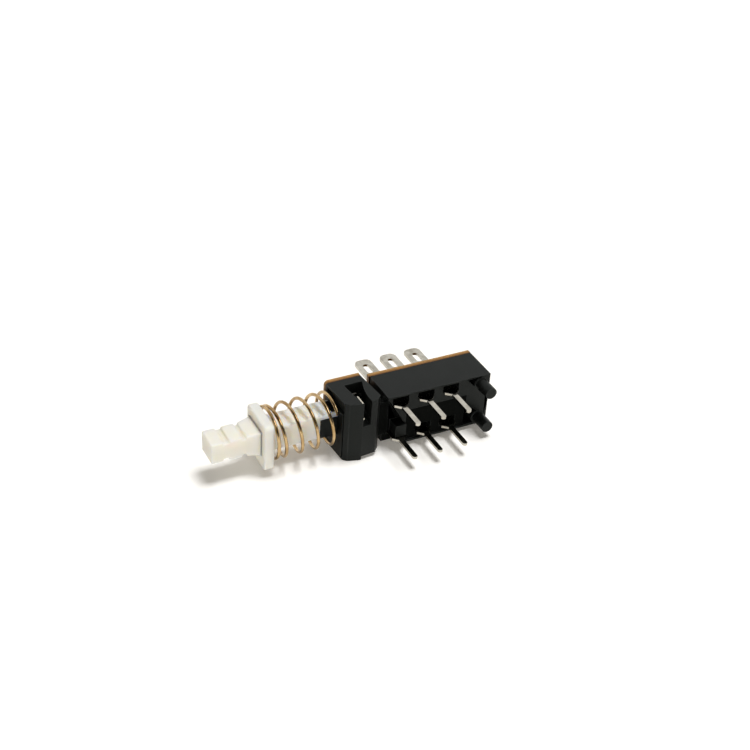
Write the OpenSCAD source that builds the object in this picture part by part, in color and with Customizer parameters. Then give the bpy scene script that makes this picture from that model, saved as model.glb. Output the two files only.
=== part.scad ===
// Six-terminal push switch with a latching action, lying on its side.
// X runs along the button's travel, into the housing; the pins point to -Y; Z is up.
// The origin is on the surface the switch lies on, under the button's axis, midway along the front block.

/* [Front block] */
// Length of the front block along the travel
block_len = 6.7; // [6.4:0.1:8]
// Height of the front block as it lies
block_h = 12.1; // [12:0.1:14]
// How far the front block's nose stands out past the pin side
nose_out = 0.7; // [0.3:0.1:1.2]
// Distance from the block's front face to the start of the nose's crest
crest_from = 3.3; // [3:0.1:3.6]
// Length of the nose's crest
crest_len = 1.9; // [1.5:0.1:2.2]
// Depth of the relief over and beside the spring pad
pad_relief = 1.0; // [0.5:0.1:1.3]
// Height of the pad that the return spring seats on
pad_h = 9.5; // [8.6:0.1:10]
// Height of the lock slot's floor above the resting face
slot_floor = 7.1; // [6.9:0.1:7.6]
// Width of the lock slot where it opens through the nose
slot_w = 1.5; // [1.2:0.1:1.7]
// Distance from the block's front face to the lock slot's far wall
slot_from = 5.1; // [5:0.05:5.2]
// Height of the notch under the nose
nose_notch = 0.7; // [0.4:0.1:1.2]

/* [Lock chamber] */
// Wall between the block's front face and the lock chamber
chamber_wall = 2.65; // [2.5:0.05:2.9]
// Length of the lock chamber along the travel
chamber_len = 3.45; // [3.2:0.05:3.6]
// Wall between the lock chamber and the terminal board
chamber_back = 1.7; // [1.6:0.1:2]
// Depth of the leaf from its front edge to its finger
leaf_depth = 2.3; // [2:0.1:2.5]
// Height of the leaf's foot and of its finger
leaf_foot = 0.3; // [0.25:0.05:0.4]
// Distance from the nose to the leaf's front edge
leaf_inset = 0.3; // [0.2:0.05:0.6]

/* [Main body] */
// Length of the main body
body_len = 20.5; // [20.5:0.1:24]
// Height of the main body
body_h = 10.6; // [10.4:0.1:11.4]
// Depth of the moulding, from the pin side to the terminal board
body_depth = 7.3; // [7.1:0.1:8]
// Gap between the front block and the main body
groove_w = 1.9; // [1.5:0.1:3]
// Height of the neck that joins them
neck_h = 7.0; // [6.6:0.1:8]
// Distance from the pin side to the button's axis
axis_depth = 5.0; // [4.8:0.1:5.1]
// Thickness of the body's top and bottom walls
wall = 1.0; // [0.9:0.05:1.1]
// Depth of the corner recesses on the pin side
recess_depth = 3.2; // [2:0.1:4]
// Length of the corner recesses at the rear end
recess_len = 4.6; // [4.2:0.1:5]
// Length of the recess at the front corner
front_recess = 3.8; // [3.4:0.1:4]
// Depth of the sunk panel between the pins
panel_depth = 0.4; // [0.2:0.1:0.8]

/* [Terminal board] */
// Thickness of the terminal board
board_t = 0.9; // [0.6:0.1:1.6]
// Radius of the stakes that hold the board
stake_r = 0.75; // [0.6:0.05:0.9]
// Height of a stake's flattened head
stake_head = 0.45; // [0.3:0.05:0.8]

/* [Terminals] */
// Distance between neighbouring terminals
pitch = 5.0; // [4.8:0.1:5.2]
// Distance from the body's front end to the first terminal
first_pin = 2.5; // [2.4:0.1:3.2]
// Height of each row above or below the axis
row = 3.6; // [3.55:0.05:3.8]
// Thickness of the terminal sheet
sheet_t = 0.5; // [0.4:0.05:0.6]
// Width of a terminal where it crosses the housing
blade_w = 2.9; // [2.4:0.1:3]
// Width of a pin
pin_w = 0.95; // [0.6:0.05:1.3]
// Length of a pin beyond the pin side
pin_len = 6.7; // [3:0.1:9]
// Width of a solder tag
tag_w = 3.2; // [3:0.1:3.6]
// Length of a solder tag beyond the board
tag_len = 6.2; // [5.4:0.1:8]
// Sideways offset of a tag from its pin
tag_shift = 0.7; // [0:0.1:0.9]
// Width of the eye in a tag
eye_w = 1.15; // [0.8:0.05:1.6]
// Length of the eye in a tag
eye_len = 2.8; // [1.8:0.1:3.2]

/* [Locating pegs] */
// Radius of a peg
peg_r = 1.1; // [0.8:0.05:1.2]
// Length of a peg beyond the pin side
peg_len = 3.6; // [2:0.1:5]
// Height of each peg above or below the axis
peg_row = 3.65; // [3.4:0.05:3.8]
// Distance from the pegs to the body's rear end
peg_inset = 1.8; // [1.6:0.1:2.2]
// Width of the shoulder around a peg's root
peg_step = 0.25; // [0.15:0.05:0.3]

/* [Button] */
// Distance from the spring seat on the block to the flange
spring_gap = 12.2; // [11:0.1:14]
// Thickness of the square flange
flange_t = 1.8; // [1.2:0.1:2.2]
// Size of the flange across the depth
flange_y = 8.1; // [7.6:0.1:9]
// Height of the flange
flange_z = 9.2; // [8.6:0.1:10]
// Radius of the flange's corners
flange_round = 0.9; // [0.4:0.1:1.4]
// Depth of the square button end
tip_y = 4.6; // [4:0.1:5]
// Height of the square button end
tip_z = 4.0; // [3.6:0.1:4.6]
// Length of the square button end
tip_len = 6.3; // [6.3:0.1:9]
// Length of the tapered collar between the button end and the flange
collar_len = 2.65; // [2:0.05:5]
// Depth of the cap notches in the button end
notch_depth = 0.45; // [0.2:0.05:0.7]
// Distance from the button's end to the cap notches
notch_from = 2.3; // [1.8:0.1:3]
// Length of a cap notch
notch_len = 1.0; // [0.6:0.1:1.4]
// Length of the undercut at the collar's root
undercut_len = 0.6; // [0.3:0.1:1]
// Height of the button's axis above the middle of the block
button_rise = 0.4; // [0.1:0.05:0.45]
// Depth of the shaft behind the flange
shaft_y = 4.3; // [4:0.05:4.3]
// Height of the shaft
shaft_z = 4.8; // [4.2:0.05:4.9]
// How far the black slider's nose shows in front of the block
slider_show = 2.8; // [1.8:0.1:3.5]
// Thickness of the button's tongue over the slider's nose
tongue_t = 1.0; // [0.8:0.05:1.4]

/* [Slider and latch] */
// Travel of the button
travel = 5.0; // [4.6:0.1:5]
// Length of the slider's contact carriage
carriage_len = 7.0; // [6.6:0.1:7.2]
// Height of the contact carriage
carriage_z = 5.2; // [5:0.1:5.4]
// Depth of the latch track
track_depth = 0.9; // [0.6:0.05:1.2]
// Width of the latch track
track_w = 0.95; // [0.9:0.05:1]
// Distance from the block's front face to the lock pin's leg
leg_from = 5.2; // [5.1:0.05:5.3]
// Sideways reach of the lock pin's end from the axis
track_reach = 0.8; // [0.7:0.02:0.84]
// Radius of the lock pin's wire
lock_r = 0.3; // [0.25:0.01:0.32]
// Height of the lock pin's pivot above the slider
lock_rise = 1.3; // [1.2:0.1:1.6]
// Thickness of the lock spring
leaf_t = 0.25; // [0.2:0.05:0.3]

/* [Contacts and springs] */
// Thickness of a moving contact
contact_t = 0.3; // [0.25:0.05:0.35]
// Width of a moving contact
contact_w = 2.6; // [2:0.1:3]
// Radius of the contact springs, outside
contact_spring_r = 0.8; // [0.6:0.05:1]
// Wire radius of a contact spring
contact_wire = 0.12; // [0.1:0.01:0.15]
// Turns of a contact spring
contact_turns = 4; // [3:1:5]
// Wire radius of the return spring
wire_r = 0.3; // [0.2:0.02:0.36]
// Outside radius of the return spring
spring_r = 4.9; // [4.6:0.05:5.1]
// Open turns of the return spring
open_turns = 3.55; // [2.5:0.05:4.5]
// Closed turns of the return spring against the flange
flange_turns = 1.1; // [1:0.05:1.5]
// Closed turns of the return spring against the block
block_turns = 0.65; // [0.5:0.05:1.5]

/* [Clearances] */
// Running clearance of the slider in its channel
slide_fit = 0.08; // [0.05:0.01:0.1]
// Clearance of a terminal in its slot
slot_fit = 0.06; // [0.04:0.01:0.1]
// Clearance of the lock pin in its bore
lock_fit = 0.05; // [0.03:0.01:0.08]
// Clearance of a stake in the board
stake_fit = 0.05; // [0.03:0.01:0.1]
// Gap between a moving contact and the terminals
contact_fit = 0.06; // [0.04:0.01:0.1]
// Gap left at each end of the contact carriage's run
stop_gap = 0.15; // [0.1:0.05:0.4]
// Gap at each seat of a spring
seat_fit = 0.03; // [0.02:0.01:0.05]

/* [Hidden] */
$fn = 48;
eps = 0.01;

// Places along the travel
block_x0 = -block_len / 2;
block_x1 = block_len / 2;
body_x0 = block_x1 + groove_w;
body_x1 = body_x0 + body_len;
pin_x = body_x0 + first_pin;
peg_x = body_x1 - peg_inset;

// Places across the depth, from the button's axis
pin_side = -axis_depth;
board_y = pin_side + body_depth;
board_back = board_y + board_t;
nose_y = pin_side - nose_out;

// Heights
axis_z = block_h / 2;
rod_z = axis_z + button_rise;
rod_top = rod_z + shaft_z / 2;
body_z0 = axis_z - body_h / 2;
body_z1 = axis_z + body_h / 2;

// Slider channel and contact cavity
channel_y0 = -shaft_y / 2 - slide_fit;
channel_z = shaft_z + 2 * slide_fit;
waist_z = shaft_z - 2 * button_rise;
cavity_y0 = channel_y0 - 0.3;
cavity_z = body_h - 2 * wall;
carriage_x0 = pin_x + pitch / 2 - carriage_len / 2;
carriage_x1 = carriage_x0 + carriage_len;
contact_end = contact_t + slide_fit;
cavity_x0 = min(carriage_x0 - contact_end - stop_gap, pin_x - blade_w / 2 - slot_fit);
cavity_x1 = max(carriage_x1 + contact_end + travel + stop_gap, pin_x + 2 * pitch + blade_w / 2 + slot_fit);

// Latch: the pin's leg hangs into the track, which reaches sideways as the button goes in
leg_x = block_x0 + leg_from;
lock_z = rod_top + lock_rise;
track_floor = rod_top - track_depth;
leg_end = track_floor + 0.12;
leg_len = lock_z - leg_end;
arm_x0 = block_x0 + 1.6;
swing = asin(track_reach / leg_len);
lane_y = (leg_len - track_depth / 2) * sin(swing);
latch_end = leg_x + track_w / 2 + 0.5;

// Moving contacts, measured from the axis, and the pockets of their springs
contact_z = row - sheet_t / 2 - contact_fit;
dimple_h = 0.2;
contact_pocket = 1.6;

// Lock slot and chamber in the front block
slot_x1 = block_x0 + slot_from;
chamber_floor = slot_floor + 1.3;
chamber_x0 = block_x0 + chamber_wall;
chamber_y1 = board_y - chamber_back;
leaf_x0 = slot_x1 - slot_w - leaf_t;
leaf_y0 = nose_y + leaf_inset;
peg_root = 0.5;

// Spring seats
flange_x1 = block_x0 - spring_gap;
flange_x0 = flange_x1 - flange_t;
tip_x1 = flange_x0 - collar_len;
tip_x0 = tip_x1 - tip_len;
nose_x = block_x0 - slider_show;
tongue_end = leg_x - travel - track_w / 2 - 0.3;
joint_gap = 0.02;

black = [0.07, 0.075, 0.08];
nylon = [0.93, 0.93, 0.9];
tan = [0.72, 0.5, 0.28];
silver = [0.75, 0.75, 0.73];
brass = [0.72, 0.55, 0.33];
steel = [0.6, 0.6, 0.62];

// A box from its low corner to its high corner
module span(low, high) {
    translate(low) cube(high - low);
}

// A rectangle with four round corners, centred on the origin
module round_plate(w, l, r) {
    square([w - 2 * r, l], center = true);
    square([w, l - 2 * r], center = true);
    for (x = [-1, 1], y = [-1, 1])
        translate([x * (w / 2 - r), y * (l / 2 - r)]) circle(r, $fn = 24);
}

// An outline in X and Z, extruded across the depth from y0 to y1
module across(y0, y1) {
    translate([0, y1, 0]) rotate([90, 0, 0]) linear_extrude(y1 - y0) children();
}

// The front block's plan: slanted nose, chamfered corners, rear flat against the board
module block_plan() {
    crest_x0 = block_x0 + crest_from;
    polygon([[block_x0, board_y], [block_x0 + 0.4, pin_side + 0.6], [block_x0 + 1.1, pin_side - 0.1],
             [crest_x0, nose_y], [crest_x0 + crest_len, nose_y + 0.2], [block_x1 - 0.4, pin_side - 0.4],
             [block_x1 + 0.6, pin_side + 0.6], [block_x1, board_y]]);
}

// The lock chamber's plan: straight on the left, bowed on the right, narrowing to the slot in the nose
module chamber_plan() {
    bow_r = 12.5;
    difference() {
        polygon([[chamber_x0, chamber_y1], [chamber_x0 + chamber_len, chamber_y1],
                 [chamber_x0 + chamber_len, nose_y - 1], [slot_x1 - slot_w, nose_y - 1],
                 [slot_x1 - slot_w, leaf_y0 - slot_fit], [leaf_x0 - slot_fit, leaf_y0 - slot_fit],
                 [leaf_x0 - slot_fit, pin_side + 1], [chamber_x0 + 0.35, pin_side + 2.1]]);
        translate([slot_x1 + bow_r, pin_side + 0.5]) circle(bow_r, $fn = 160);
    }
}

module front_block() {
    lip = 0.45;
    groove = 0.45;
    rim = 0.6;
    pad_y0 = pin_side + rim;
    difference() {
        linear_extrude(block_h) block_plan();
        // dark relief over the spring pad and beside it
        span([block_x0 - 1, pad_y0, pad_h], [block_x0 + pad_relief, board_y - rim, block_h - lip]);
        span([block_x0 - 1, pad_y0, lip], [block_x0 + pad_relief, pad_y0 + groove, pad_h + eps]);
        // notch under the nose
        span([0.2, nose_y - 1, -1], [block_x1 + 1, pin_side + 1.2, nose_notch]);
        // lock chamber, with the leaf's rebate beside the slot
        translate([0, 0, chamber_floor]) linear_extrude(block_h) chamber_plan();
        span([slot_x1 - slot_w, nose_y - 1, slot_floor], [slot_x1, channel_y0 + eps, chamber_floor + eps]);
        // way down to the slider for the lock pin's leg
        intersection() {
            translate([0, 0, axis_z]) linear_extrude(block_h) chamber_plan();
            span([block_x0, channel_y0, axis_z], [block_x1, board_y, block_h]);
        }
        // bore for the lock pin's arm
        translate([arm_x0 - 0.1, 0, lock_z]) rotate([0, 90, 0]) cylinder(r = lock_r + lock_fit, h = 2);
    }
}

// Outline of a corner recess on the pin side, in X and Z
module upper_corner() {
    polygon([[body_x1 - recess_len, body_z1 - 0.35], [body_x1 - 0.3 * recess_len, body_z1 - 0.35],
             [body_x1 - 0.12, axis_z - 0.1]]);
}

module lower_corner() {
    floor_z = axis_z - peg_row - peg_r;
    side_x = body_x1 - 0.2;
    polygon([[body_x1 - recess_len, axis_z - 0.2], [side_x, floor_z + 0.2 * recess_len], [side_x, floor_z],
             [body_x1 - recess_len, floor_z]]);
}

module front_corner() {
    side_x = body_x0 + front_recess;
    polygon([[body_x0 - 1, body_z1 - 0.3], [body_x0, body_z1 - 0.4], [side_x - 0.5, axis_z - 0.6],
             [side_x, axis_z - 0.8], [side_x, body_z0 - 1], [body_x0 - 1, body_z0 - 1]]);
}

module main_body() {
    pad_x0 = body_x0 + 1.6;
    pocket_w = blade_w + 0.3;
    pocket_depth = 1.6;
    difference() {
        span([body_x0, pin_side, body_z0], [body_x1, board_y, body_z1]);
        across(pin_side - 1, pin_side + recess_depth) upper_corner();
        across(pin_side - 1, pin_side + recess_depth) lower_corner();
        across(pin_side - 1, pin_side + 0.6 * recess_depth) front_corner();
        span([body_x0 + front_recess, pin_side - 1, body_z0 + 0.4],
             [body_x1 - recess_len, pin_side + panel_depth, axis_z + 1.75]);
        for (i = [0:2], side = [-1, 1])
            translate([pin_x + i * pitch, pin_side, axis_z + side * row + sheet_t / 2])
                translate([-pocket_w / 2, -1, 0]) cube([pocket_w, 1 + pocket_depth, 1.1]);
    }
    // small block beside the first lower terminal
    span([pad_x0, pin_side - 0.5, axis_z - row + sheet_t / 2 + 0.1],
         [pad_x0 + 2.1, pin_side + recess_depth, axis_z - 0.85]);
}

module stake(x, z) {
    translate([x, board_y - eps, z]) rotate([-90, 0, 0]) {
        cylinder(r = stake_r, h = board_t + stake_fit + 2 * eps, $fn = 32);
        translate([0, 0, board_t + stake_fit + eps])
            cylinder(r1 = stake_r + 0.45, r2 = stake_r - 0.1, h = stake_head, $fn = 32);
    }
}

module slots(y0, y1) {
    for (i = [0:2], side = [-1, 1])
        translate([pin_x + i * pitch, 0, axis_z + side * row])
            span([-blade_w / 2 - slot_fit, y0, -sheet_t / 2 - slot_fit],
                 [blade_w / 2 + slot_fit, y1, sheet_t / 2 + slot_fit]);
}

stakes = [[block_x0 + 3.2, axis_z - 4.1], [block_x0 + 3.2, axis_z + 4.1],
          [body_x1 - 2.2, axis_z - 3.4], [body_x1 - 2.2, axis_z + 3.4]];

module housing() {
    neck_y0 = pin_side + 1.6;
    color(black) {
        difference() {
            union() {
                front_block();
                span([block_x1 - 1, neck_y0, axis_z - neck_h / 2],
                     [body_x0 + 1, board_y, axis_z + neck_h / 2]);
                main_body();
            }
            // channel for the shaft, open to the board
            span([block_x0 - 1, channel_y0, rod_z - channel_z / 2],
                 [cavity_x0 + 1, board_y + 1, rod_z + channel_z / 2]);
            // contact cavity
            span([cavity_x0, cavity_y0, axis_z - cavity_z / 2],
                 [cavity_x1, board_y + 1, axis_z + cavity_z / 2]);
            slots(pin_side - 1, board_y + 1);
        }
        // pegs, each on a boss that fills the corner recess up to the pin side
        for (side = [-1, 1]) translate([peg_x, 0, axis_z + side * peg_row]) rotate([90, 0, 0]) {
            translate([0, 0, -pin_side - recess_depth - peg_root])
                cylinder(r = peg_r + peg_step, h = recess_depth + peg_root);
            translate([0, 0, -pin_side - eps]) cylinder(r = peg_r, h = peg_len + eps);
        }
        for (p = stakes) stake(p[0], p[1]);
    }
}

module terminal_board() {
    corner = 0.8;
    notch_z = axis_z - neck_h / 2;
    color(tan) difference() {
        across(board_y, board_back) difference() {
            union() {
                translate([block_x0, 0]) square([block_len, block_h]);
                translate([body_x0 - 0.2, body_z0]) square([body_len + 0.2, body_h]);
                translate([block_x1 - 1, notch_z]) square([groove_w + 1, neck_h]);
            }
            for (side = [0, 1]) translate([block_x0, side * block_h]) mirror([0, side]) difference() {
                translate([-1, -1]) square(corner + 1);
                translate([corner, corner]) circle(corner, $fn = 32);
            }
            for (p = stakes) translate(p) circle(stake_r + stake_fit, $fn = 32);
        }
        slots(board_y - 1, board_back + 1);
    }
}

// A stamped terminal seen from above: pin, shoulders, blade and solder tag with its eye
module terminal_plan() {
    shoulder = pin_side - 0.35;
    neck = shoulder - 0.9;
    pin_end = pin_side - pin_len;
    tag_y = board_back + stake_fit;
    eye_y = tag_y + tag_len - 1.5 - eye_len / 2;
    difference() {
        union() {
            translate([-blade_w / 2, shoulder]) square([blade_w, tag_y - shoulder + 1]);
            polygon([[-blade_w / 2, shoulder], [-pin_w / 2, neck],
                     [pin_w / 2, neck], [blade_w / 2, shoulder]]);
            translate([-pin_w / 2, pin_end + pin_w / 2]) square([pin_w, neck - pin_end]);
            translate([0, pin_end + pin_w / 2]) circle(pin_w / 2, $fn = 24);
            translate([-tag_shift, tag_y + tag_len / 2]) round_plate(tag_w, tag_len, 1.1);
            translate([-tag_shift - tag_w / 2, tag_y]) square([tag_w, 1.2]);
        }
        translate([-tag_shift, eye_y]) {
            square([eye_w, eye_len - eye_w], center = true);
            for (s = [-1, 1]) translate([0, s * (eye_len - eye_w) / 2]) circle(eye_w / 2, $fn = 24);
        }
    }
}

module terminal(i, side) {
    color(silver) translate([pin_x + i * pitch, 0, axis_z + side * row - sheet_t / 2])
        linear_extrude(sheet_t) terminal_plan();
}

// Plan of the button's tongue: it forks around the latch track and ends inside the block
module tongue_plan(fit) {
    fork_y = track_reach + track_w / 2 + 0.3;
    difference() {
        translate([nose_x - 1, -shaft_y / 2]) square([block_x0 + 0.4 + fit - nose_x + 1, shaft_y]);
        translate([tongue_end + fit, -fork_y + fit]) square([travel, 2 * (fork_y - fit)]);
    }
}

// The white button: notched square end, tapered collar, flange and shaft with its tongue
module button() {
    taper_grow = 0.9;
    color(nylon) difference() {
        union() {
            span([tip_x0, -tip_y / 2, rod_z - tip_z / 2], [flange_x0, tip_y / 2, rod_z + tip_z / 2]);
            hull() {
                span([tip_x1, -tip_y / 2, rod_z - tip_z / 2], [flange_x0, tip_y / 2, rod_z + tip_z / 2]);
                span([flange_x0 - eps, -(tip_y + taper_grow) / 2, rod_z - (tip_z + taper_grow) / 2],
                     [flange_x0 + eps, (tip_y + taper_grow) / 2, rod_z + (tip_z + taper_grow) / 2]);
            }
            // the flange stands level with the block, a little lower than the shaft
            translate([flange_x0, 0, axis_z]) rotate([90, 0, 90])
                linear_extrude(flange_t) round_plate(flange_y, flange_z, flange_round);
            span([flange_x1 - eps, -shaft_y / 2, rod_z - shaft_z / 2],
                 [nose_x - joint_gap, shaft_y / 2, rod_top]);
            translate([0, 0, rod_top - tongue_t]) linear_extrude(tongue_t) tongue_plan(0);
        }
        // cap notches, above and below, and the undercut behind the button end
        for (side = [-1, 1], run = [[tip_x0 + notch_from, notch_len], [tip_x1 - undercut_len, undercut_len]])
            translate([run[0], -tip_y, rod_z + side * tip_z / 2 - notch_depth])
                cube([run[1], 2 * tip_y, 2 * notch_depth]);
    }
}

// Middle line of the latch track on the slider: in along one side, back along the other
track_in = [[leg_x, 0], [leg_x - travel, -lane_y]];
track_back = [[leg_x - travel, -lane_y], [leg_x - travel + 1.2, -0.05], [leg_x - travel + 0.1, lane_y],
              [leg_x - travel + 2.4, lane_y], [leg_x - 0.9, lane_y * 0.6], [leg_x, 0]];

// A groove along a list of points, made of round ends and straight runs
module track(points) {
    for (p = points) translate(p) circle(track_w / 2, $fn = 24);
    for (i = [0:len(points) - 2]) {
        run = points[i + 1] - points[i];
        translate(points[i]) rotate(atan2(run[1], run[0])) translate([0, -track_w / 2])
            square([norm(run), track_w]);
    }
}

module contact_slider() {
    color(black) difference() {
        union() {
            span([nose_x, -shaft_y / 2, rod_z - shaft_z / 2], [latch_end, shaft_y / 2, rod_top]);
            // waist, level with the shaft underneath
            span([latch_end - 1, -shaft_y / 2, axis_z - waist_z / 2],
                 [carriage_x0 + 1, shaft_y / 2, axis_z + waist_z / 2]);
            span([carriage_x0, -shaft_y / 2, axis_z - carriage_z / 2],
                 [carriage_x1, shaft_y / 2, axis_z + carriage_z / 2]);
        }
        // room for the button's tongue
        translate([0, 0, rod_top - tongue_t - joint_gap])
            linear_extrude(tongue_t + 1) scale([1, 1.01]) tongue_plan(joint_gap);
        // heart-shaped latch track
        translate([0, 0, track_floor]) linear_extrude(track_depth + 1) {
            track(track_in);
            track(track_back);
        }
        // spring pockets in the carriage
        for (side = [-1, 1])
            translate([pin_x + pitch / 2, 0, axis_z + side * (carriage_z - contact_pocket) / 2])
                cylinder(r = contact_spring_r + slide_fit, h = contact_pocket + eps, center = true, $fn = 32);
    }
}

// A moving contact: a strip with two dimples, and hooked ends that keep it over the carriage
module contact(side) {
    reach = carriage_len / 2 + slide_fit;
    plate_z = contact_z - dimple_h - contact_t;
    hook = plate_z - waist_z / 2 - 0.1;
    color(brass) translate([pin_x + pitch / 2, 0, axis_z]) mirror([0, 0, side < 0 ? 1 : 0]) {
        span([-reach - contact_t, -contact_w / 2, plate_z],
             [reach + contact_t, contact_w / 2, plate_z + contact_t]);
        for (s = [0, 1]) mirror([s, 0, 0])
            span([reach, -contact_w / 2, plate_z - hook], [reach + contact_t, contact_w / 2, plate_z + eps]);
        for (s = [-1, 1]) translate([s * pitch / 2, 0, plate_z + contact_t - eps])
            cylinder(r1 = 0.7, r2 = 0.35, h = dimple_h + eps, $fn = 24);
    }
}

// Height of a coil's middle line after t turns: closed turns, open turns, closed turns
function coil_height(t, first, open, last, wire, height) =
    let (step = 2.05 * wire, rise = (height - 2 * wire - (first + last) * step) / open)
    wire + min(t, first) * step + max(0, min(t - first, open)) * rise + max(0, t - first - open) * step;

// A coil about +Z, of rings of points along its middle line
module coil(r, wire, height, first, open, last, sides, per_turn, turn_from) {
    turns = first + open + last;
    rings = ceil(turns * per_turn);
    points = [for (i = [0:rings], j = [0:sides - 1])
        let (t = turns * i / rings, a = turn_from + 360 * t, b = 360 * j / sides,
             out = r + wire * cos(b))
        [out * cos(a), out * sin(a), coil_height(t, first, open, last, wire, height) + wire * sin(b)]];
    last_ring = rings * sides;
    faces = concat(
        [[for (j = [0:sides - 1]) j]],
        [for (i = [0:rings - 1], j = [0:sides - 1])
            let (k = (j + 1) % sides)
            [i * sides + j, (i + 1) * sides + j, (i + 1) * sides + k, i * sides + k]],
        [[for (j = [sides - 1:-1:0]) last_ring + j]]);
    polyhedron(points = points, faces = faces, convexity = 10);
}

// The return spring, with a closed turn against the flange and another against the block
module return_spring() {
    wire_start = 123;
    color(brass) translate([flange_x1 + seat_fit, 0, rod_z]) rotate([0, 90, 0])
        coil(spring_r - wire_r, wire_r, spring_gap - 2 * seat_fit, flange_turns, open_turns, block_turns,
             8, 22, wire_start);
}

module contact_spring(side) {
    closed = 0.75;
    floor_z = carriage_z / 2 - contact_pocket + seat_fit;
    top_z = contact_z - dimple_h - contact_t - seat_fit;
    color(steel) translate([pin_x + pitch / 2, 0, axis_z]) mirror([0, 0, side < 0 ? 1 : 0])
        translate([0, 0, floor_z])
            coil(contact_spring_r - contact_wire, contact_wire, top_z - floor_z,
                 closed, contact_turns - 2 * closed, closed, 6, 12, 0);
}

// The lock pin: an arm in the block's bore, bent down into a leg that rides in the track
module lock_pin() {
    bend = lock_r * 2;
    color(steel) {
        translate([arm_x0, 0, lock_z]) rotate([0, 90, 0])
            cylinder(r = lock_r, h = leg_x - bend - arm_x0, $fn = 24);
        translate([leg_x - bend, 0, lock_z - bend]) rotate([90, 0, 0])
            rotate_extrude(angle = 90, $fn = 48) translate([bend, 0]) circle(lock_r, $fn = 24);
        translate([leg_x, 0, leg_end]) cylinder(r = lock_r, h = lock_z - bend - leg_end, $fn = 24);
    }
}

// The lock spring: a leaf standing in the slot, with a finger that holds the lock pin's arm down
module lock_spring() {
    leaf_top = block_h - 0.1;
    leaf_low = chamber_floor + slot_fit;
    finger_low = lock_z + lock_r + lock_fit;
    color(steel) translate([leaf_x0, 0, 0]) {
        span([0, leaf_y0, leaf_low], [leaf_t, leaf_y0 + leaf_depth, leaf_top]);
        span([0, leaf_y0 + leaf_depth - eps, finger_low], [leaf_t, lock_r, finger_low + leaf_foot]);
        span([0, leaf_y0, leaf_low], [leaf_t + leaf_foot, leaf_y0 + leaf_t, leaf_low + leaf_foot]);
    }
}

housing();
terminal_board();
terminal(0, 1);  // upper_terminal_1
terminal(1, 1);  // upper_terminal_2
terminal(2, 1);  // upper_terminal_3
terminal(0, -1);  // lower_terminal_1
terminal(1, -1);  // lower_terminal_2
terminal(2, -1);  // lower_terminal_3
button();
contact_slider();
contact(1);  // upper_contact
contact(-1);  // lower_contact
contact_spring(1);  // upper_contact_spring
contact_spring(-1);  // lower_contact_spring
return_spring();
lock_pin();
lock_spring();
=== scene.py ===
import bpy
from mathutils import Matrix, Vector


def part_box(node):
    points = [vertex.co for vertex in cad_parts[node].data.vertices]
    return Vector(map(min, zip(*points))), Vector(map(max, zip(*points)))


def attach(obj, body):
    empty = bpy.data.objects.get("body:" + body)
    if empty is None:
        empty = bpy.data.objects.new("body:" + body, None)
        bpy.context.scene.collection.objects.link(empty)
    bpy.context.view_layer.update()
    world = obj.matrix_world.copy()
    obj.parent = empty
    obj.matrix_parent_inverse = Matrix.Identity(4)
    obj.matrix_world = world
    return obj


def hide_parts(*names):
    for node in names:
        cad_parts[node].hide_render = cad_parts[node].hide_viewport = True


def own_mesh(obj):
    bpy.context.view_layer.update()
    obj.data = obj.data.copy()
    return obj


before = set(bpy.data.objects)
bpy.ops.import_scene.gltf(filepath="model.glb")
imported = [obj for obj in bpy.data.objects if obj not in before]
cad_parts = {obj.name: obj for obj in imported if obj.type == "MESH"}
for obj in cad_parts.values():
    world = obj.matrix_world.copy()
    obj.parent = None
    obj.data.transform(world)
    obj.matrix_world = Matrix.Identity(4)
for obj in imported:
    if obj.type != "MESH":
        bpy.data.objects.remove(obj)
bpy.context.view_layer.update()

import math

import bmesh
import bpy
from mathutils import Matrix, Vector

# Housing
# The black nylon moulding: front block, neck and main body in one shot, with pegs and board stakes.
# Its edges leave the mould with a small radius that polishes with handling, and its faces carry a
# fine spark-eroded grain.
MM = 0.001


def softened(node, name, width, steps=2, sharp=28):
    """A copy of a node's solid with its edges rounded; the rounded strips are marked in the attribute edge."""
    shape = bmesh.new()
    shape.from_mesh(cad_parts[node].data)
    worn = shape.faces.layers.float.new("edge")
    bmesh.ops.remove_doubles(shape, verts=shape.verts, dist=1e-6)
    bmesh.ops.dissolve_limit(shape, angle_limit=math.radians(0.5), verts=shape.verts, edges=shape.edges)
    corners = [e for e in shape.edges if len(e.link_faces) == 2 and e.calc_face_angle() > math.radians(sharp)]
    rounded = bmesh.ops.bevel(shape, geom=corners, offset=width, offset_type="OFFSET", segments=steps,
                              profile=0.5, affect="EDGES", clamp_overlap=False)
    for face in rounded["faces"]:
        if face.is_valid:
            face[worn] = 1.0
    low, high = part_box(node)
    for corner in shape.verts:
        corner.co = [min(max(value, a), b) for value, a, b in zip(corner.co, low, high)]
    for face in shape.faces:
        face.smooth = True
    for edge in shape.edges:
        edge.smooth = len(edge.link_faces) == 2 and edge.calc_face_angle() < math.radians(38)
    mesh = bpy.data.meshes.new(name)
    shape.to_mesh(mesh)
    shape.free()
    piece = bpy.data.objects.new(name, mesh)
    bpy.context.collection.objects.link(piece)
    even = piece.modifiers.new("even_normals", "WEIGHTED_NORMAL")
    even.keep_sharp = True
    return piece


def add(tree, kind, links=None, **settings):
    """A node with its settings, and its inputs either linked or set by name."""
    made = tree.nodes.new(kind)
    for key, value in settings.items():
        setattr(made, key, value)
    for key, value in (links or {}).items():
        socket = made.inputs[key]
        if isinstance(value, bpy.types.NodeSocket):
            tree.links.new(value, socket)
        else:
            socket.default_value = value
    return made


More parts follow.
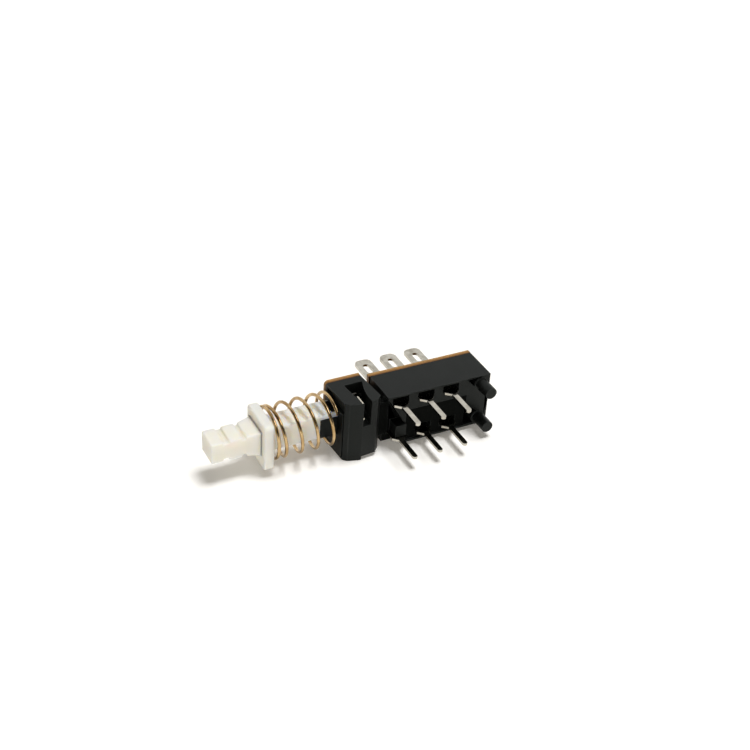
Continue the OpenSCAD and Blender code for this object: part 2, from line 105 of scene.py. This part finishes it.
def new_group(name, inputs, outputs):
    """An empty shader group with named inputs and outputs, and its two end nodes."""
    group = bpy.data.node_groups.new(name, "ShaderNodeTree")
    for label, kind, value in inputs:
        made = group.interface.new_socket(name=label, in_out="INPUT", socket_type=kind)
        if value is not None:
            made.default_value = value
    for label, kind in outputs:
        group.interface.new_socket(name=label, in_out="OUTPUT", socket_type=kind)
    return group, group.nodes.new("NodeGroupInput"), group.nodes.new("NodeGroupOutput")


def new_material(name):
    """A material with its Principled BSDF."""
    material = bpy.data.materials.new(name)
    material.use_nodes = True
    return material, material.node_tree, material.node_tree.nodes["Principled BSDF"]


def put_group(tree, group, **values):
    """A node group placed in a material with its own values."""
    placed = tree.nodes.new("ShaderNodeGroup")
    placed.node_tree = group
    for key, value in values.items():
        placed.inputs[key.replace("_", " ")].default_value = value
    return placed


def two_tones(tree, mask, low, high):
    """Mixes two colours by a mask."""
    mix = add(tree, "ShaderNodeMix", data_type="RGBA")
    tree.links.new(mask, mix.inputs["Factor"])
    mix.inputs["A"].default_value = (*low, 1)
    mix.inputs["B"].default_value = (*high, 1)
    return mix.outputs["Result"]


# moulded grain: fine specks, slow clouds, and the polish of rounded edges
moulded_grain, into, out = new_group(
    "moulded grain",
    [("Speck size", "NodeSocketFloat", 0.00006), ("Cloud size", "NodeSocketFloat", 0.004), ("Polish", "NodeSocketFloat", 0.5)],
    [("Specks", "NodeSocketFloat"), ("Clouds", "NodeSocketFloat"), ("Edge", "NodeSocketFloat")])
where = add(moulded_grain, "ShaderNodeTexCoord").outputs["Object"]
per_speck = add(moulded_grain, "ShaderNodeMath", {0: 1.0, 1: into.outputs["Speck size"]}, operation="DIVIDE")
per_cloud = add(moulded_grain, "ShaderNodeMath", {0: 1.0, 1: into.outputs["Cloud size"]}, operation="DIVIDE")
specks = add(moulded_grain, "ShaderNodeTexNoise", {"Vector": where, "Scale": per_speck.outputs[0], "Detail": 2.0, "Roughness": 0.6})
clouds = add(moulded_grain, "ShaderNodeTexNoise", {"Vector": where, "Scale": per_cloud.outputs[0], "Detail": 4.0, "Roughness": 0.62})
rounded_edge = add(moulded_grain, "ShaderNodeAttribute", attribute_name="edge", attribute_type="GEOMETRY")
broken = add(moulded_grain, "ShaderNodeMapRange", {"Value": clouds.outputs["Fac"], "From Min": 0.35, "From Max": 0.65})
edge_mask = add(moulded_grain, "ShaderNodeMath", {0: rounded_edge.outputs["Fac"], 1: broken.outputs["Result"]}, operation="MULTIPLY")
polished = add(moulded_grain, "ShaderNodeMath", {0: edge_mask.outputs[0], 1: into.outputs["Polish"]}, operation="MULTIPLY")
moulded_grain.links.new(specks.outputs["Fac"], out.inputs["Specks"])
moulded_grain.links.new(clouds.outputs["Fac"], out.inputs["Clouds"])
moulded_grain.links.new(polished.outputs[0], out.inputs["Edge"])

black_plastic, tree, surface = new_material("black moulded nylon")
grain = put_group(tree, moulded_grain, Speck_size=0.00007, Cloud_size=0.0035, Polish=0.8)
body_tone = two_tones(tree, grain.outputs["Clouds"], (0.003, 0.0033, 0.003), (0.006, 0.0065, 0.0058))
worn_tone = add(tree, "ShaderNodeMix", {"A": body_tone, "B": (0.03, 0.032, 0.031, 1), "Factor": grain.outputs["Edge"]}, data_type="RGBA")
tree.links.new(worn_tone.outputs["Result"], surface.inputs["Base Color"])
gloss = add(tree, "ShaderNodeMapRange", {"Value": grain.outputs["Clouds"], "From Min": 0.3, "From Max": 0.7, "To Min": 0.38, "To Max": 0.48})
tree.links.new(gloss.outputs["Result"], surface.inputs["Roughness"])
bump = add(tree, "ShaderNodeBump", {"Height": grain.outputs["Specks"], "Strength": 0.35, "Distance": 0.00002})
tree.links.new(bump.outputs["Normal"], surface.inputs["Normal"])
surface.inputs["Specular IOR Level"].default_value = 0.16
surface.inputs["Specular Tint"].default_value = (0.9, 1.0, 0.95, 1)

# The recessed pin-side faces behind the rim get a copy with almost no reflection. This is partly a matt panel finish
# and partly painted shade that darkens the recesses.
matt_shaded_plastic = black_plastic.copy()
matt_shaded_plastic.name = "black moulded nylon, matt panel with painted recess shade"
matt = matt_shaded_plastic.node_tree.nodes["Principled BSDF"]
matt.inputs["Specular IOR Level"].default_value = 0.01

housing = softened("housing", "housing_moulding", 0.09 * MM)
housing.data.materials.append(black_plastic)
housing.data.materials.append(matt_shaded_plastic)
# Faces that look towards the pins and sit back behind the rim take the painted recess shade.
rim_y = -5.0 * MM
for face in housing.data.polygons:
    if face.normal.y < -0.9 and rim_y + 0.1 * MM < face.center.y < 0 and face.center.x > 3 * MM:
        face.material_index = 1
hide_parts("housing")
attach(housing, "housing")

# Terminal board
# A punched sheet of paper phenolic that closes the housing's back, held by four melted stakes.
# The faces show pressed paper fibre. The sheared edges are paler, and across the board's thickness their tan carries
# painted shade, darkest next to the housing where the gap between them falls in shadow.
board_tan, tree, surface = new_material("tan paper phenolic")
where = add(tree, "ShaderNodeTexCoord").outputs["Object"]
fibre_map = add(tree, "ShaderNodeMapping", {"Vector": where, "Scale": (1.0, 1.0, 4.0)})
fibres = add(tree, "ShaderNodeTexNoise", {"Vector": fibre_map.outputs["Vector"], "Scale": 1500.0, "Detail": 5.0, "Roughness": 0.65})
mottle = add(tree, "ShaderNodeTexNoise", {"Vector": where, "Scale": 320.0, "Detail": 3.0})
across = add(tree, "ShaderNodeSeparateXYZ", {"Vector": where})
# Painted shade: the tan darkens across the board's thickness towards the housing, for the shadow in the gap between
# board and housing.
layers = add(tree, "ShaderNodeMapRange", {"Value": across.outputs["Y"], "From Min": 0.0023, "From Max": 0.0032})
gap_shade_tone = add(tree, "ShaderNodeValToRGB", {"Fac": layers.outputs["Result"]})
for place, tone in ((0.0, (0.10, 0.044, 0.013, 1)), (0.28, (0.22, 0.105, 0.032, 1)), (0.55, (0.33, 0.175, 0.055, 1)),
                    (0.8, (0.40, 0.225, 0.075, 1)), (1.0, (0.33, 0.165, 0.048, 1))):
    stop = gap_shade_tone.color_ramp.elements[0] if place == 0.0 else (
        gap_shade_tone.color_ramp.elements[-1] if place == 1.0 else gap_shade_tone.color_ramp.elements.new(place))
    stop.position = place
    stop.color = tone
fibre_tone = add(tree, "ShaderNodeMapRange", {"Value": fibres.outputs["Fac"], "From Min": 0.3, "From Max": 0.7, "To Min": 0.78, "To Max": 1.14})
mottle_tone = add(tree, "ShaderNodeMapRange", {"Value": mottle.outputs["Fac"], "From Min": 0.3, "From Max": 0.7, "To Min": 0.9, "To Max": 1.1})
both = add(tree, "ShaderNodeMath", {0: fibre_tone.outputs["Result"], 1: mottle_tone.outputs["Result"]}, operation="MULTIPLY")
tone = add(tree, "ShaderNodeVectorMath", {0: gap_shade_tone.outputs["Color"]}, operation="SCALE")
tree.links.new(both.outputs[0], tone.inputs["Scale"])
tree.links.new(tone.outputs["Vector"], surface.inputs["Base Color"])
sheen = add(tree, "ShaderNodeMapRange", {"Value": fibres.outputs["Fac"], "From Min": 0.3, "From Max": 0.7, "To Min": 0.42, "To Max": 0.62})
tree.links.new(sheen.outputs["Result"], surface.inputs["Roughness"])
bump = add(tree, "ShaderNodeBump", {"Height": fibres.outputs["Fac"], "Strength": 0.4, "Distance": 0.00003})
tree.links.new(bump.outputs["Normal"], surface.inputs["Normal"])

surface.inputs["Specular IOR Level"].default_value = 0.25

board = softened("terminal_board", "terminal_board_sheet", 0.05 * MM)
board.data.materials.append(board_tan)
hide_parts("terminal_board")
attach(board, "housing")

# Terminals
# Six stampings of silver-plated brass strip, pressed through housing and board. Rolling lines run
# along each one, and the sheared edges are brighter where the punch left them.
rolled_strip, into, out = new_group(
    "rolled strip",
    [("Line size", "NodeSocketFloat", 0.0001), ("Stretch", "NodeSocketVector", (1.0, 0.06, 1.0)), ("Stain size", "NodeSocketFloat", 0.002)],
    [("Lines", "NodeSocketFloat"), ("Stain", "NodeSocketFloat"), ("Edge", "NodeSocketFloat")])
where = add(rolled_strip, "ShaderNodeTexCoord").outputs["Object"]
per_line = add(rolled_strip, "ShaderNodeMath", {0: 1.0, 1: into.outputs["Line size"]}, operation="DIVIDE")
per_stain = add(rolled_strip, "ShaderNodeMath", {0: 1.0, 1: into.outputs["Stain size"]}, operation="DIVIDE")
drawn_out = add(rolled_strip, "ShaderNodeVectorMath", {0: where, 1: into.outputs["Stretch"]}, operation="MULTIPLY")
lines = add(rolled_strip, "ShaderNodeTexNoise", {"Vector": drawn_out.outputs["Vector"], "Scale": per_line.outputs[0], "Detail": 3.0})
stain = add(rolled_strip, "ShaderNodeTexNoise", {"Vector": where, "Scale": per_stain.outputs[0], "Detail": 4.0, "Roughness": 0.6})
cut_edge = add(rolled_strip, "ShaderNodeAttribute", attribute_name="edge", attribute_type="GEOMETRY")
rolled_strip.links.new(lines.outputs["Fac"], out.inputs["Lines"])
rolled_strip.links.new(stain.outputs["Fac"], out.inputs["Stain"])
rolled_strip.links.new(cut_edge.outputs["Fac"], out.inputs["Edge"])


def strip_metal(name, clean, dull, bright, rough, stretch=(1.0, 0.06, 1.0)):
    """A rolled metal: clean and dull tones under a stain, and a brighter sheared edge."""
    material, tree, surface = new_material(name)
    strip = put_group(tree, rolled_strip, Line_size=0.00012, Stretch=stretch, Stain_size=0.0016)
    patch = add(tree, "ShaderNodeMapRange", {"Value": strip.outputs["Stain"], "From Min": 0.4, "From Max": 0.68})
    plain = two_tones(tree, patch.outputs["Result"], clean, dull)
    cut = add(tree, "ShaderNodeMix", {"A": plain, "B": (*bright, 1), "Factor": strip.outputs["Edge"]}, data_type="RGBA")
    tree.links.new(cut.outputs["Result"], surface.inputs["Base Color"])
    finish = add(tree, "ShaderNodeMapRange", {"Value": strip.outputs["Lines"], "From Min": 0.3, "From Max": 0.7,
                                              "To Min": 0.6 * rough, "To Max": 1.5 * rough})
    tree.links.new(finish.outputs["Result"], surface.inputs["Roughness"])
    bump = add(tree, "ShaderNodeBump", {"Height": strip.outputs["Lines"], "Strength": 0.25, "Distance": 0.00001})
    tree.links.new(bump.outputs["Normal"], surface.inputs["Normal"])
    surface.inputs["Metallic"].default_value = 1.0
    return material


silver_plate = strip_metal("silver-plated brass", (0.54, 0.515, 0.45), (0.35, 0.325, 0.27), (0.55, 0.53, 0.47), 0.1)
for row in ("upper", "lower"):
    for number in (1, 2, 3):
        terminal = softened(f"{row}_terminal_{number}", f"{row}_terminal_strip_{number}", 0.05 * MM)
        terminal.data.materials.append(silver_plate)
        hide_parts(f"{row}_terminal_{number}")
        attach(terminal, "housing")

# Button
# One moulding of natural nylon: square end with cap notches, tapered collar, flange and shaft. It is
# milky, so light soaks into its thin parts, and its faces are smoother than the housing's.
milky_nylon, tree, surface = new_material("natural nylon")
grain = put_group(tree, moulded_grain, Speck_size=0.00009, Cloud_size=0.003, Polish=0.4)
tree.links.new(two_tones(tree, grain.outputs["Clouds"], (0.79, 0.76, 0.68), (0.85, 0.82, 0.745)), surface.inputs["Base Color"])
gloss = add(tree, "ShaderNodeMapRange", {"Value": grain.outputs["Clouds"], "From Min": 0.3, "From Max": 0.7, "To Min": 0.5, "To Max": 0.62})
tree.links.new(gloss.outputs["Result"], surface.inputs["Roughness"])
bump = add(tree, "ShaderNodeBump", {"Height": grain.outputs["Specks"], "Strength": 0.2, "Distance": 0.00002})
tree.links.new(bump.outputs["Normal"], surface.inputs["Normal"])
surface.inputs["Subsurface Weight"].default_value = 1.0
surface.inputs["Subsurface Radius"].default_value = (1.0, 0.85, 0.6)
surface.inputs["Subsurface Scale"].default_value = 0.0034
surface.inputs["IOR"].default_value = 1.53

button = softened("button", "button_moulding", 0.28 * MM, steps=4)
button.data.materials.append(milky_nylon)
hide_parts("button")
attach(button, "button")

# Slider and contacts
# The black slider clips under the button's tongue and carries two bridging contacts on small springs.
# Only its nose shows, under the shaft, but the rest is finished as it would be when taken apart.
slider = softened("contact_slider", "slider_moulding", 0.06 * MM)
slider.data.materials.append(black_plastic)
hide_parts("contact_slider")
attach(slider, "button")

contact_metal = strip_metal("contact brass", (0.62, 0.45, 0.22), (0.42, 0.28, 0.12), (0.75, 0.6, 0.35), 0.28, (0.06, 1.0, 1.0))
for side in ("upper", "lower"):
    contact = softened(f"{side}_contact", f"{side}_contact_strip", 0.03 * MM)
    contact.data.materials.append(contact_metal)
    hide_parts(f"{side}_contact")
    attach(contact, "button")

# Springs
# Drawn wire wound on an arbor: a closed turn at each seat and open turns between. The return spring
# is a gilt-coloured wire around the shaft; the contact springs are small steel coils.
coil_tree = bpy.data.node_groups.new("coil of wire", "GeometryNodeTree")
coil_inputs = {}
for label, kind, value in (("Coil radius", "NodeSocketFloat", 0.004), ("Wire radius", "NodeSocketFloat", 0.0003),
                           ("Length", "NodeSocketFloat", 0.012), ("Open turns", "NodeSocketFloat", 3.0),
                           ("First closed turns", "NodeSocketFloat", 1.0), ("Last closed turns", "NodeSocketFloat", 1.0),
                           ("Start angle", "NodeSocketFloat", 0.0),
                           ("Points per turn", "NodeSocketInt", 48), ("Wire sides", "NodeSocketInt", 16),
                           ("Wire", "NodeSocketMaterial", None)):
    socket = coil_tree.interface.new_socket(name=label, in_out="INPUT", socket_type=kind)
    if value is not None:
        socket.default_value = value
    coil_inputs[label] = socket.identifier
coil_tree.interface.new_socket(name="Geometry", in_out="OUTPUT", socket_type="NodeSocketGeometry")
coil_in = coil_tree.nodes.new("NodeGroupInput").outputs
coil_out = coil_tree.nodes.new("NodeGroupOutput")


def sum_of(tree, operation, a, b):
    """The result of one operation on two numbers or sockets."""
    return add(tree, "ShaderNodeMath", {0: a, 1: b}, operation=operation).outputs[0]


both_closed = sum_of(coil_tree, "ADD", coil_in["First closed turns"], coil_in["Last closed turns"])
all_turns = sum_of(coil_tree, "ADD", both_closed, coil_in["Open turns"])
points = sum_of(coil_tree, "ADD", sum_of(coil_tree, "MULTIPLY", all_turns, coil_in["Points per turn"]), 1.0)
start = add(coil_tree, "GeometryNodeCurvePrimitiveLine", {"End": (1.0, 0.0, 0.0)})
along = add(coil_tree, "GeometryNodeResampleCurve", {"Curve": start.outputs["Curve"], "Count": points})
place = add(coil_tree, "GeometryNodeSplineParameter")
turn = sum_of(coil_tree, "MULTIPLY", place.outputs["Factor"], all_turns)
turn_store = add(coil_tree, "GeometryNodeStoreNamedAttribute", {"Geometry": along.outputs["Curve"], "Name": "turn", "Value": turn},
                 data_type="FLOAT", domain="POINT")
closed_pitch = sum_of(coil_tree, "MULTIPLY", coil_in["Wire radius"], 2.05)
seats = sum_of(coil_tree, "MULTIPLY", coil_in["Wire radius"], 2.0)
closed_rise = sum_of(coil_tree, "MULTIPLY", both_closed, closed_pitch)
open_rise = sum_of(coil_tree, "SUBTRACT", sum_of(coil_tree, "SUBTRACT", coil_in["Length"], seats), closed_rise)
open_pitch = sum_of(coil_tree, "DIVIDE", open_rise, coil_in["Open turns"])
first = sum_of(coil_tree, "MINIMUM", turn, coil_in["First closed turns"])
past_first = sum_of(coil_tree, "MAXIMUM", sum_of(coil_tree, "SUBTRACT", turn, coil_in["First closed turns"]), 0.0)
middle = sum_of(coil_tree, "MINIMUM", past_first, coil_in["Open turns"])
last = sum_of(coil_tree, "MAXIMUM", sum_of(coil_tree, "SUBTRACT", past_first, coil_in["Open turns"]), 0.0)
closed_part = sum_of(coil_tree, "MULTIPLY", sum_of(coil_tree, "ADD", first, last), closed_pitch)
height = sum_of(coil_tree, "ADD", sum_of(coil_tree, "ADD", closed_part, coil_in["Wire radius"]),
                sum_of(coil_tree, "MULTIPLY", middle, open_pitch))
angle = sum_of(coil_tree, "ADD", sum_of(coil_tree, "MULTIPLY", turn, math.tau), coil_in["Start angle"])
side_way = sum_of(coil_tree, "MULTIPLY", sum_of(coil_tree, "MULTIPLY", sum_of(coil_tree, "SINE", angle, 0.0), coil_in["Coil radius"]), -1.0)
up_way = sum_of(coil_tree, "MULTIPLY", sum_of(coil_tree, "COSINE", angle, 0.0), coil_in["Coil radius"])
spot = add(coil_tree, "ShaderNodeCombineXYZ", {"X": height, "Y": side_way, "Z": up_way})
helix = add(coil_tree, "GeometryNodeSetPosition", {"Geometry": turn_store.outputs["Geometry"], "Position": spot.outputs["Vector"]})
ring = add(coil_tree, "GeometryNodeCurvePrimitiveCircle", {"Resolution": coil_in["Wire sides"], "Radius": coil_in["Wire radius"]})
ring_place = add(coil_tree, "GeometryNodeSplineParameter")
ring_store = add(coil_tree, "GeometryNodeStoreNamedAttribute",
                 {"Geometry": ring.outputs["Curve"], "Name": "around", "Value": ring_place.outputs["Factor"]},
                 data_type="FLOAT", domain="POINT")
wire_mesh = add(coil_tree, "GeometryNodeCurveToMesh", {"Curve": helix.outputs["Geometry"], "Profile Curve": ring_store.outputs["Geometry"],
                                                       "Fill Caps": True})
smooth = add(coil_tree, "GeometryNodeSetShadeSmooth", {"Geometry": wire_mesh.outputs["Mesh"], "Shade Smooth": True})
real = add(coil_tree, "GeometryNodeRealizeInstances", {"Geometry": smooth.outputs["Geometry"]})
dressed = add(coil_tree, "GeometryNodeSetMaterial", {"Geometry": real.outputs["Geometry"], "Material": coil_in["Wire"]})
coil_tree.links.new(dressed.outputs["Geometry"], coil_out.inputs["Geometry"])


def wound(name, place, **values):
    """A coil made by the tree along +X, moved to its place and kept as a plain mesh."""
    maker = bpy.data.objects.new(name + "_maker", bpy.data.meshes.new(name + "_maker"))
    bpy.context.collection.objects.link(maker)
    nodes = maker.modifiers.new("coil", "NODES")
    nodes.node_group = coil_tree
    for key, value in values.items():
        nodes[coil_inputs[key.replace("_", " ")]] = value
    bpy.context.view_layer.update()
    graph = bpy.context.evaluated_depsgraph_get()
    mesh = bpy.data.meshes.new_from_object(maker.evaluated_get(graph), preserve_all_data_layers=True, depsgraph=graph)
    mesh.transform(place)
    bpy.data.objects.remove(maker)
    piece = bpy.data.objects.new(name, mesh)
    bpy.context.collection.objects.link(piece)
    return piece


def wire_metal(name, clean, dull, rough):
    """Drawn wire: fine lines along it, and slow changes of tone from turn to turn."""
    material, tree, surface = new_material(name)
    turns = add(tree, "ShaderNodeAttribute", attribute_name="turn", attribute_type="GEOMETRY")
    sides = add(tree, "ShaderNodeAttribute", attribute_name="around", attribute_type="GEOMETRY")
    spot = add(tree, "ShaderNodeCombineXYZ", {"X": turns.outputs["Fac"], "Y": sides.outputs["Fac"]})
    stretched = add(tree, "ShaderNodeVectorMath", {0: spot.outputs["Vector"], 1: (6.0, 24.0, 1.0)}, operation="MULTIPLY")
    lines = add(tree, "ShaderNodeTexNoise", {"Vector": stretched.outputs["Vector"], "Scale": 1.0, "Detail": 3.0})
    where = add(tree, "ShaderNodeTexCoord").outputs["Object"]
    slow = add(tree, "ShaderNodeTexNoise", {"Vector": where, "Scale": 450.0, "Detail": 2.0})
    patch = add(tree, "ShaderNodeMapRange", {"Value": slow.outputs["Fac"], "From Min": 0.38, "From Max": 0.65})
    tree.links.new(two_tones(tree, patch.outputs["Result"], clean, dull), surface.inputs["Base Color"])
    finish = add(tree, "ShaderNodeMapRange", {"Value": lines.outputs["Fac"], "From Min": 0.3, "From Max": 0.7,
                                              "To Min": 0.7 * rough, "To Max": 1.4 * rough})
    tree.links.new(finish.outputs["Result"], surface.inputs["Roughness"])
    bump = add(tree, "ShaderNodeBump", {"Height": lines.outputs["Fac"], "Strength": 0.2, "Distance": 0.00001})
    tree.links.new(bump.outputs["Normal"], surface.inputs["Normal"])
    surface.inputs["Metallic"].default_value = 1.0
    return material


gilt_wire = wire_metal("gilt spring wire", (0.55, 0.39, 0.20), (0.32, 0.20, 0.08), 0.1)
steel_wire = wire_metal("spring steel wire", (0.55, 0.54, 0.51), (0.38, 0.37, 0.35), 0.26)

spring_low, spring_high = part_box("return_spring")
axis_z = (spring_low.z + spring_high.z) / 2
spring_wire = 0.30 * MM
return_spring = wound(
    "return_spring_wire", Matrix.Translation((spring_low.x, 0, axis_z)),
    Coil_radius=4.9 * MM - spring_wire, Wire_radius=spring_wire, Length=spring_high.x - spring_low.x,
    First_closed_turns=1.1, Open_turns=3.55, Last_closed_turns=0.65, Start_angle=math.radians(-57),
    Points_per_turn=64, Wire_sides=20,
    Wire=gilt_wire)
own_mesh(return_spring)
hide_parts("return_spring")
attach(return_spring, "housing")

for side, facing in (("upper", -1), ("lower", 1)):
    low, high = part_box(f"{side}_contact_spring")
    contact_spring = wound(
        f"{side}_contact_spring_wire",
        Matrix.Translation(((low.x + high.x) / 2, 0, low.z if facing < 0 else high.z)) @ Matrix.Rotation(math.radians(90 * facing), 4, "Y"),
        Coil_radius=0.68 * MM, Wire_radius=0.12 * MM, Length=high.z - low.z,
        First_closed_turns=0.75, Open_turns=2.5, Last_closed_turns=0.75,
        Points_per_turn=32, Wire_sides=12, Wire=steel_wire)
    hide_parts(f"{side}_contact_spring")
    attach(contact_spring, "button")

# Lock pin and lock spring
# The bent wire that rides in the heart-shaped track, and the thin leaf in the slot that holds it down.
leaf_metal = strip_metal("spring leaf", (0.68, 0.64, 0.54), (0.46, 0.42, 0.33), (0.82, 0.78, 0.68), 0.24, (1.0, 1.0, 0.06))
# The lock wire is dark steel, painted darker still so that it reads as lying in the chamber's shade, without a
# highlight.
dark_shaded_wire = strip_metal("dark steel lock wire with painted shade", (0.05, 0.047, 0.042), (0.03, 0.028, 0.024), (0.08, 0.076, 0.07), 0.35, (0.06, 1.0, 1.0))
pin = softened("lock_pin", "lock_pin_wire", 0.04 * MM, sharp=50)
pin.data.materials.append(dark_shaded_wire)
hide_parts("lock_pin")
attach(pin, "lock_pin")
leaf = softened("lock_spring", "lock_spring_leaf", 0.03 * MM)
leaf.data.materials.append(leaf_metal)
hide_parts("lock_spring")
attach(leaf, "housing")

# Table, light and camera
# A plain white table under soft lamps, seen from above the pin side as in the photograph.
table = bpy.data.objects.new("table", bpy.data.meshes.new("table"))
table.data.from_pydata([(-3, -3, 0), (3, -3, 0), (3, 3, 0), (-3, 3, 0)], [], [(0, 1, 2, 3)])
bpy.context.collection.objects.link(table)
white_table, tree, surface = new_material("white table")
surface.inputs["Base Color"].default_value = (0.93, 0.92, 0.90, 1)
surface.inputs["Roughness"].default_value = 0.9
surface.inputs["Specular IOR Level"].default_value = 0.1
seen = add(tree, "ShaderNodeLightPath")
seen_or_mirrored = sum_of(tree, "MAXIMUM", sum_of(tree, "MAXIMUM", seen.outputs["Is Camera Ray"], seen.outputs["Is Glossy Ray"]),
                          seen.outputs["Is Transmission Ray"])
# The table glows for camera, glossy and transmission rays: faintly near the switch, and strongly far out so the far
# table reads white. The warm colour of the glow near the switch is painted warmth in its shadows.
from_middle = add(tree, "ShaderNodeVectorMath", {0: add(tree, "ShaderNodeTexCoord").outputs["Object"]}, operation="LENGTH")
far_out = add(tree, "ShaderNodeMapRange", {"Value": from_middle.outputs["Value"], "From Min": 0.06, "From Max": 0.4,
                                           "To Min": 0.15, "To Max": 0.85}, interpolation_type="SMOOTHSTEP")
tree.links.new(two_tones(tree, far_out.outputs["Result"], (1, 0.93, 0.80), (1, 1, 1)), surface.inputs["Emission Color"])
tree.links.new(sum_of(tree, "MULTIPLY", seen_or_mirrored, far_out.outputs["Result"]), surface.inputs["Emission Strength"])
table.data.materials.append(white_table)

world = bpy.data.worlds.new("soft room")
world.use_nodes = True
bpy.context.scene.world = world
tree = world.node_tree
background = tree.nodes["Background"]
seen = add(tree, "ShaderNodeLightPath")
direct = sum_of(tree, "MAXIMUM", sum_of(tree, "MAXIMUM", seen.outputs["Is Camera Ray"], seen.outputs["Is Glossy Ray"]),
                seen.outputs["Is Transmission Ray"])
room = add(tree, "ShaderNodeMapRange", {"Value": direct, "To Min": 0.22, "To Max": 1.0})
tree.links.new(two_tones(tree, direct, (1.0, 0.94, 0.83), (1.0, 1.0, 1.0)), background.inputs["Color"])
look = add(tree, "ShaderNodeTexCoord").outputs["Generated"]
rise = add(tree, "ShaderNodeSeparateXYZ", {"Vector": look})
high_up = add(tree, "ShaderNodeMapRange", {"Value": rise.outputs["Z"], "From Min": 0.05, "From Max": 0.3}, interpolation_type="SMOOTHSTEP")
viewer_side = add(tree, "ShaderNodeVectorMath", {0: look, 1: (-0.48, -0.88, 0.0)}, operation="DOT_PRODUCT")
in_front = add(tree, "ShaderNodeMapRange", {"Value": viewer_side.outputs["Value"], "From Min": -0.3, "From Max": 0.25},
               interpolation_type="SMOOTHSTEP")
toward_window = add(tree, "ShaderNodeVectorMath", {0: look, 1: (0.35, -0.35, 0.87)}, operation="DOT_PRODUCT")
window = add(tree, "ShaderNodeMapRange", {"Value": toward_window.outputs["Value"], "From Min": 0.955, "From Max": 0.985, "To Max": 4.0},
              interpolation_type="SMOOTHSTEP")
dark_wall = sum_of(tree, "MULTIPLY", sum_of(tree, "MULTIPLY", high_up.outputs["Result"], in_front.outputs["Result"]), 0.95)
walls = sum_of(tree, "MULTIPLY", room.outputs["Result"], sum_of(tree, "SUBTRACT", 1.0, dark_wall))
tree.links.new(sum_of(tree, "ADD", walls, sum_of(tree, "MULTIPLY", direct, window.outputs["Result"])), background.inputs["Strength"])


def soft_lamp(name, place, target, size, power):
    """A square softbox at a place, aimed at a target."""
    light = bpy.data.lights.new(name, "AREA")
    light.size = size
    light.energy = power
    lamp = bpy.data.objects.new(name, light)
    lamp.location = place
    lamp.rotation_euler = (Vector(target) - Vector(place)).to_track_quat("-Z", "Y").to_euler()
    bpy.context.collection.objects.link(lamp)
    return lamp


overhead = soft_lamp("overhead_softbox", (0.1, -0.03, 0.6), (0, 0, 0), 0.22, 3.5)
fill = soft_lamp("front_softbox", (-0.23, -0.38, 0.1), (0, 0, 0.005), 0.16, 0.66)
for lamp in (overhead, fill):
    lamp.visible_glossy = False

azimuth, elevation, roll = math.radians(-28.75), math.radians(34.42), math.radians(3.8)
distance = 239.3 * MM
focal_px = 1338.38
aim = Vector((10.65, -1.0, 5.0)) * MM
aim_px = (403.31, 408.92)
back = Vector((math.sin(azimuth) * math.cos(elevation), -math.cos(azimuth) * math.cos(elevation), math.sin(elevation)))
level = Vector((math.cos(azimuth), math.sin(azimuth), 0))
upright = back.cross(level)
cam_right = level * math.cos(roll) + upright * math.sin(roll)
cam_up = upright * math.cos(roll) - level * math.sin(roll)
camera = bpy.data.objects.new("camera", bpy.data.cameras.new("camera"))
camera.data.sensor_width = 36
camera.data.lens = 36 * focal_px / 750
camera.data.clip_start = 0.01
camera.data.clip_end = 10
across_px, down_px = (aim_px[0] - 375) / focal_px * distance, (aim_px[1] - 375) / focal_px * distance
camera.matrix_world = Matrix.Translation(aim + distance * back - across_px * cam_right + down_px * cam_up) @ Matrix(
    (cam_right, cam_up, back)).transposed().to_4x4()
bpy.context.collection.objects.link(camera)
bpy.context.scene.camera = camera
bpy.context.scene.view_settings.view_transform = "Standard"
